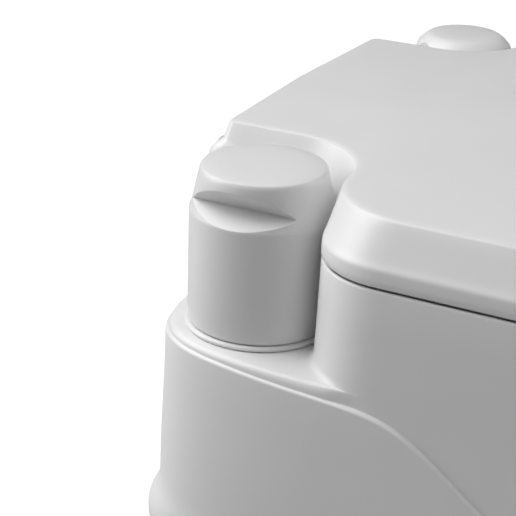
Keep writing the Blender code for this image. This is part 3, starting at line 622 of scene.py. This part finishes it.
def make_bowl():
    outer = bowl_levels(0.0, 0.1988, 0.3600)
    inner = bowl_levels(-0.0040, 0.1988, 0.3600)
    rim = DECK + GAP
    lip = [(-0.0040, 0.1222), (0.0000, 0.1226), (0.0000, 0.1296), (0.0003, 0.1300), (0.0009, 0.1300),
           (0.0014, 0.1293), (0.0016, 0.1270), (0.0014, 0.1220), (0.0006, 0.1195), (-0.0010, 0.1187),
           (-0.0040, 0.1182)]
    levels = outer + [(rim + z, oval(a, a + 0.0290)) for z, a in lip] + list(reversed(inner))
    bowl = make_object("bowl_liner", loft(levels, closed=True))
    cut(bowl, [cylinder((0.0, 0.1250, NOZZLE_Z), (0, 1, 0), NOZZLE_R, 0.05)])
    finish(bowl, "bowl_plastic", "flush_section", "bowl", 40.0)


# Seat and lid
def knuckle(x_low, x_high, reach):
    """Hinge eye with a shank that reaches forward into its panel."""
    eye = [tuple(p) for p in arc(HINGE.yz, EYE_R, -90.0, 90.0, 20)]
    shank = [(reach, HINGE.z + 0.0035), (reach, HINGE.z - 0.0030), (0.2128, HINGE.z - 0.0030)]
    return side_plate(eye + shank, x_low, x_high)


def hinge_bore():
    return cylinder((-0.0900, HINGE.y, HINGE.z), (1, 0, 0), PIN_R, 0.1800, 32)


def make_lid():
    rim = raised_outline(0.0010)
    top = lid_top_outline()
    plan = raised_outline()
    rear_part = [smoothstep(0.186, 0.204, p.y) for p in plan]
    corner_part = [smoothstep(0.066, 0.074, abs(p.x)) * smoothstep(0.2000, 0.2080, p.y) for p in plan]
    rows = []

    def row(z, rear_z, points, flange=0.0):
        rows.append([(p.x, p.y + flange * corner, mix(z, rear_z, rear))
                     for p, rear, corner in zip(points, rear_part, corner_part)])

    def bevel_row(z, rear_z, share, rear_share):
        """A row that share of the way from the rim to the flat top."""
        points = [a.lerp(b, mix(share, rear_share, w)) for a, b, w in zip(rim, top, rear_part)]
        row(z, rear_z, points, max(0.0, FLANGE * (0.75 - 2.0 * rear_share)))

    for up, inset in ((0.0, 0.0019), (0.0003, 0.0011), (0.0009, 0.0007)):
        row(LID_LOW + up, LID_LOW + up, raised_outline(inset), FLANGE - 0.0012)
    for z, rear_z, inset, flange in ((0.3745, 0.3775, 0.0006, FLANGE), (0.3780, 0.3820, 0.0008, FLANGE),
                                     (0.3789, 0.3838, 0.0010, FLANGE - 0.0006)):
        row(z, rear_z, raised_outline(inset), flange)
    for levels in ((0.3796, 0.3855, 0.020, 0.050), (0.3803, 0.3870, 0.060, 0.150),
                   (0.3812, 0.3882, 0.120, 0.300), (0.3823, 0.3893, 0.185, 0.460),
                   (0.3840, 0.3902, 0.270, 0.540)):
        bevel_row(*levels)
    for k in range(1, 6):
        t = k / 6.0
        bevel_row(mix(0.3840, LID_TOP - 0.0016, t), mix(0.3902, LID_TOP - 0.0018, t), mix(0.27, 0.93, t),
                  mix(0.54, 0.93, t))
    bevel_row(LID_TOP - 0.0015, LID_TOP - 0.0015, 0.950, 0.960)
    bevel_row(LID_TOP - 0.0009, LID_TOP - 0.0009, 0.990, 0.990)
    for below, inset in ((0.0004, 0.0010), (0.0001, 0.0024), (0.0000, 0.0045)):
        row(LID_TOP - below, LID_TOP - below, lid_top_outline(inset))
    lid = make_object("lid_shell", skin(rows))
    cut(lid, [loft([(0.3600, raised_outline(0.0040)), (0.3780, raised_outline(0.0042)),
                    (0.3950, lid_top_outline(0.0035))])])
    for side in (-1, 1):
        center = side * HINGE_X
        slot = sorted((center - side * 0.0107, center + side * 0.00015))
        arm = sorted((center + side * 0.0003, center + side * 0.0102))
        cut(lid, [box((slot[0], 0.1950, 0.3500), (slot[1], 0.2200, 0.3815))])
        cut(lid, [knuckle(*arm, 0.2085)], "UNION")
    cut(lid, [hinge_bore()])
    finish(lid, "white_plastic", "lid_cover", "lid")


def make_seat():
    outside = [(0.3727, 0.0050), (0.3732, 0.0028), (0.3742, 0.0010), (0.3760, 0.0002), (0.3800, 0.0000),
               (0.3835, 0.0006), (0.3860, 0.0022), (0.3880, 0.0056), (0.3892, 0.0110), (0.3898, 0.0180)]
    hole = [(0.3896, 0.0170), (0.3888, 0.0095), (0.3872, 0.0045), (0.3850, 0.0018), (0.3820, 0.0004),
            (0.3770, 0.0000), (0.3745, 0.0006), (0.3732, 0.0020), (0.3727, 0.0040)]
    levels = [(z, oval(0.1630 - inset, 0.1820 - inset, -0.0170, 2.1, 128)) for z, inset in outside]
    levels += [(z, oval(0.1060 + inset, 0.1370 + inset, -0.0060, 2.1, 128)) for z, inset in hole]
    seat = make_object("seat_shell", loft(levels, closed=True))
    for side in (-1, 1):
        center = side * HINGE_X
        arm = sorted((center - side * 0.0102, center - side * 0.0003))
        cut(seat, [knuckle(*arm, 0.1500)], "UNION")
    cut(seat, [hinge_bore()])
    finish(seat, "white_plastic", "seat_ring", "seat")


# Pump and filler
def make_pump_knob():
    low, high = 0.0030, 0.3995 - PLATFORM
    profile = [(0.0325, low), (KNOB_R - 0.0006, low), (KNOB_R - 0.0001, low + 0.0004), (KNOB_R, low + 0.0012),
               (KNOB_R, 0.0300), (KNOB_R, 0.0590), (0.03590, 0.0603), (0.03565, 0.0612), (0.03520, 0.0620),
               (0.03330, 0.0710), (0.03130, 0.0803), (0.03085, 0.0817), (0.03020, 0.0825), (0.02900, 0.0829),
               (0.02200, high - 0.0002), (0.0110, high)]
    knob = make_object("pump_cap", lathe([(r, PLATFORM + z) for r, z in profile], PUMP, 144))
    cut(knob, [cylinder((*PUMP.xy, PLATFORM - 0.006), (0, 0, 1), 0.0325, 0.0615, 96)])
    wedge = [(-0.0500, 0.0566), (-0.0365, 0.0607), (-0.0280, 0.0634), (-0.0215, 0.0657), (-0.0203, 0.0664),
             (-0.0206, 0.0672), (-0.0250, 0.0722), (-0.0290, 0.0758), (-0.0320, 0.0779), (-0.0500, 0.0903)]
    cut(knob, [skin([[(PUMP.x + x, PUMP.y + y, PLATFORM + z) for x, z in wedge] for y in (0.05, -0.05)])])
    soften(knob, 0.0004, 28.0)
    finish(knob, "white_plastic", "pump", "pump_knob", 24.0)


def make_pump_collar():
    profile = [(0.0344, 0.0003), (0.0372, 0.0003), (0.0376, 0.0006), (0.0377, 0.0011), (0.0375, 0.0017),
               (0.0370, 0.0022), (0.0364, 0.0024), (0.0306, 0.0024), (0.0306, 0.0017), (0.0344, 0.0017)]
    collar = make_object("pump_ring", lathe([(r, PLATFORM + z) for r, z in profile], PUMP, 144, closed=True))
    finish(collar, "white_plastic", "flush_section", "pump_collar")


def make_filler_cap():
    low, top = (corner.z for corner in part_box("filler_cap"))
    profile = [(0.0296, low), (0.0300, low + 0.0006), (0.0301, low + 0.0150), (0.0300, top - 0.0096),
               (0.0298, top - 0.0084), (0.0294, top - 0.0073), (0.0286, top - 0.0060), (0.0262, top - 0.0034),
               (0.0236, top - 0.0014), (0.0220, top - 0.0006), (0.0196, top - 0.0002), (0.0110, top)]
    cap = make_object("filler_lid", lathe(profile, FILLER, 144))
    cut(cap, [cylinder((*FILLER.xy, low - 0.01), (0, 0, 1), 0.0255, top - low - 0.0002, 96)])
    for i in range(CAP_FLUTES):
        angle = math.radians(CAP_FIRST + 360.0 * i / CAP_FLUTES)
        away = Vector((math.cos(angle), math.sin(angle), 0.0))
        scoop = lathe([(0.0001, -0.0240), (0.0125, -0.0230), (0.0125, 0.0020), (0.0118, 0.0055),
                       (0.0100, 0.0085), (0.0060, 0.0110), (0.0001, 0.0120)], (0.0, 0.0), 48)
        place = FILLER + away * 0.0393 + Vector((0.0, 0.0, top - 0.0095))
        bmesh.ops.translate(scoop, verts=scoop.verts, vec=place)
        cut(cap, [scoop])
    soften(cap, 0.0006, 30.0)
    finish(cap, "white_plastic", "filler_closure", "filler_cap", 30.0)


def make_filler_neck():
    low = PLATFORM + GAP
    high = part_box("filler_neck")[1].z
    profile = [(0.0225, low), (0.0336, low), (0.0340, low + 0.0004), (0.0338, low + 0.0014),
               (0.0330, low + 0.0024), (0.0316, low + 0.0040), (0.0305, low + 0.0062), (0.0300, low + 0.0090),
               (0.0292, 0.3692), (0.0288, 0.3697), (0.0250, 0.3697), (0.0250, high - 0.0004), (0.0246, high),
               (0.0228, high), (0.0225, high - 0.0003)]
    neck = make_object("filler_stub", lathe(profile, FILLER, 96, closed=True))
    finish(neck, "white_plastic", "flush_section", "filler_neck")


# Waste tank
def make_waste_tank():
    levels = [(0.0036, -0.0170, 0.0), (0.0040, -0.0150, 0.0), (0.0052, -0.0112, 0.0), (0.0080, -0.0070, 0.0),
              (0.0120, -0.0040, 0.0), (0.0180, -0.0018, 0.0), (0.0250, -0.0006, 0.0), (0.0340, 0.0, 0.0),
              (0.1000, 0.0006, 0.0), (0.1760, 0.0012, 0.0), (0.1820, 0.0013, 0.0004),
              (0.1860, 0.0016, 0.0014), (0.1895, 0.0021, 0.0030), (0.1925, 0.0026, 0.0044),
              (0.1955, 0.0028, 0.0052), (0.1975, 0.0026, 0.0053), (0.1984, 0.0021, 0.0050),
              (SEAM - GAP, 0.0012, 0.0044)]
    tank = make_object("waste_shell", loft([(z, tank_outline(grow, push)) for z, grow, push in levels]))
    cavity = make_object("cavity", loft([
        (0.0100, tank_outline(-0.018)), (0.0220, tank_outline(-WALL - 0.004)),
        (0.0380, tank_outline(-WALL)), (0.1700, tank_outline(-WALL))]))
    cut(cavity, [box((-0.0860, 0.1490, 0.1290), (0.1560, 0.30, 0.20)),
                 box((-0.0980, -0.30, 0.0960), (0.0980, -0.1940, 0.20))])
    inside = taken_mesh(cavity)
    cut(tank, [
        inside, loft([(PAN_Z, tank_outline(-0.016)), (0.2300, tank_outline(-0.016))]),
        box((-0.0800, 0.1550, CHANNEL_Z), (0.1500, 0.30, 0.26)),
        box((-0.0240, -0.2400, 0.1830), (0.0240, -0.1900, 0.26)),
        box((-0.0450, -0.2600, 0.1790), (0.0450, -0.2050, 0.27)),
        box((-0.0900, -0.2800, 0.1050), (0.0900, -0.2000, 0.1660))])
    soften(tank, 0.0018, 40.0)
    spout, vent = center_of("spout_bearing"), center_of("vent_housing")
    tools = [cylinder((0.0, OUTLET_Y, 0.165), (0, 0, 1), 0.0450, 0.03, 72),
             cylinder((spout.x, spout.y, 0.120), (0, 0, 1), 0.0165, 0.03, 48),
             cylinder((vent.x, spout.y, 0.120), (0, 0, 1), 0.0042, 0.03, 24),
             cylinder((0.0, -0.2400, 0.0700), (0, 1, 0), 0.0105, 0.035, 48)]
    for node, x in (("handle_pin_left", -0.0965), ("handle_pin_right", 0.0895)):
        tools.append(cylinder((x, *center_of(node).yz), (1, 0, 0), 0.0033, 0.0070, 24))
    for i in range(1, 5):
        screw = center_of("valve_screw_%d" % i)
        tools.append(cylinder((screw.x, screw.y, 0.1722), (0, 0, 1), 0.0018, 0.01, 16))
    cut(tank, tools)
    finish(tank, "grey_plastic", "waste_section", "waste_tank", 34.0)


def dress_cad_nodes():
    """Give every CAD node the finish of its slot."""
    for part in frame["record"]["subparts"]:
        node = frame["nodes"][part["node"]]
        look = LOOKS[part["material_slot"]]
        if not node.material_slots:
            node.data.materials.append(look)
        for place in node.material_slots:
            place.material = look


# Studio
def make_camera():
    data = bpy.data.cameras.new("camera")
    data.lens = LENS
    data.sensor_width = 36.0
    camera = bpy.data.objects.new("camera", data)
    bpy.context.scene.collection.objects.link(camera)
    place = Vector((PUMP.x, PUMP.y, PLATFORM)) + CAMERA_FROM_PUMP
    turn = Matrix.Translation(place)
    for degrees, axis in ((AZIMUTH, "Z"), (90.0 - ELEVATION, "X"), (ROLL, "Z")):
        turn = turn @ Matrix.Rotation(math.radians(degrees), 4, axis)
    camera.matrix_world = turn
    bpy.context.scene.camera = camera


def soft_light(name, direction, size, power):
    data = bpy.data.lights.new(name, "AREA")
    data.shape = "SQUARE"
    data.size = size
    data.energy = power
    light = bpy.data.objects.new(name, data)
    bpy.context.scene.collection.objects.link(light)
    toward = Vector(direction).normalized()
    light.location = LIGHT_CENTER + toward * LIGHT_DISTANCE
    light.rotation_mode = "QUATERNION"
    light.rotation_quaternion = toward.to_track_quat("Z", "Y")


def camera_ray(tree):
    return tree.nodes.new("ShaderNodeLightPath").outputs["Is Camera Ray"]


def make_studio():
    """Soft boxes, and a backdrop that looks white but lights little."""
    world = bpy.data.worlds.new("studio")
    bpy.context.scene.world = world
    world.use_nodes = True
    tree = world.node_tree
    tree.nodes["Background"].inputs["Color"].default_value = (1.0, 1.0, 1.0, 1.0)
    seen = tree.nodes.new("ShaderNodeMapRange")
    seen.inputs["To Min"].default_value = AMBIENT
    seen.inputs["To Max"].default_value = 1.0
    tree.links.new(camera_ray(tree), seen.inputs["Value"])
    tree.links.new(seen.outputs["Result"], tree.nodes["Background"].inputs["Strength"])
    for soft_box in SOFT_BOXES:
        soft_light(*soft_box)
    bpy.context.scene.view_settings.view_transform = "Standard"


def make_floor():
    """Pale floor that takes shadows and fades to the white of the backdrop for the camera."""
    bm = bmesh.new()
    bmesh.ops.create_grid(bm, x_segments=40, y_segments=40, size=40.0)
    floor = make_object("floor", bm)
    look, nodes, links, shader = new_material("floor_look")
    place = nodes.new("ShaderNodeTexCoord").outputs["Object"]
    clouds = noise(nodes, links, place, 2.0, 3.0)
    ramp = nodes.new("ShaderNodeValToRGB")
    ramp.color_ramp.elements[0].color = (0.54, 0.54, 0.54, 1.0)
    ramp.color_ramp.elements[1].color = (0.58, 0.58, 0.58, 1.0)
    links.new(clouds, ramp.inputs["Fac"])
    links.new(ramp.outputs["Color"], shader.inputs["Base Color"])
    shader.inputs["Roughness"].default_value = 0.7
    shader.inputs["Emission Color"].default_value = (1.0, 1.0, 1.0, 1.0)
    away = nodes.new("ShaderNodeVectorMath")
    away.operation = "LENGTH"
    links.new(place, away.inputs[0])
    fade = nodes.new("ShaderNodeMapRange")
    fade.inputs["From Min"].default_value = GLOW_NEAR
    fade.inputs["From Max"].default_value = GLOW_FAR
    fade.inputs["To Min"].default_value = FLOOR_GLOW
    fade.inputs["To Max"].default_value = 1.0
    links.new(away.outputs["Value"], fade.inputs["Value"])
    glow = nodes.new("ShaderNodeMath")
    glow.operation = "MULTIPLY"
    links.new(fade.outputs["Result"], glow.inputs[1])
    links.new(camera_ray(look.node_tree), glow.inputs[0])
    links.new(glow.outputs["Value"], shader.inputs["Emission Strength"])
    floor.data.materials.append(look)


make_camera()
make_studio()
make_floor()
make_waste_tank()
make_flush_tank()
make_bowl()
make_seat()
make_lid()
make_pump_knob()
make_pump_collar()
make_filler_neck()
make_filler_cap()
dress_cad_nodes()
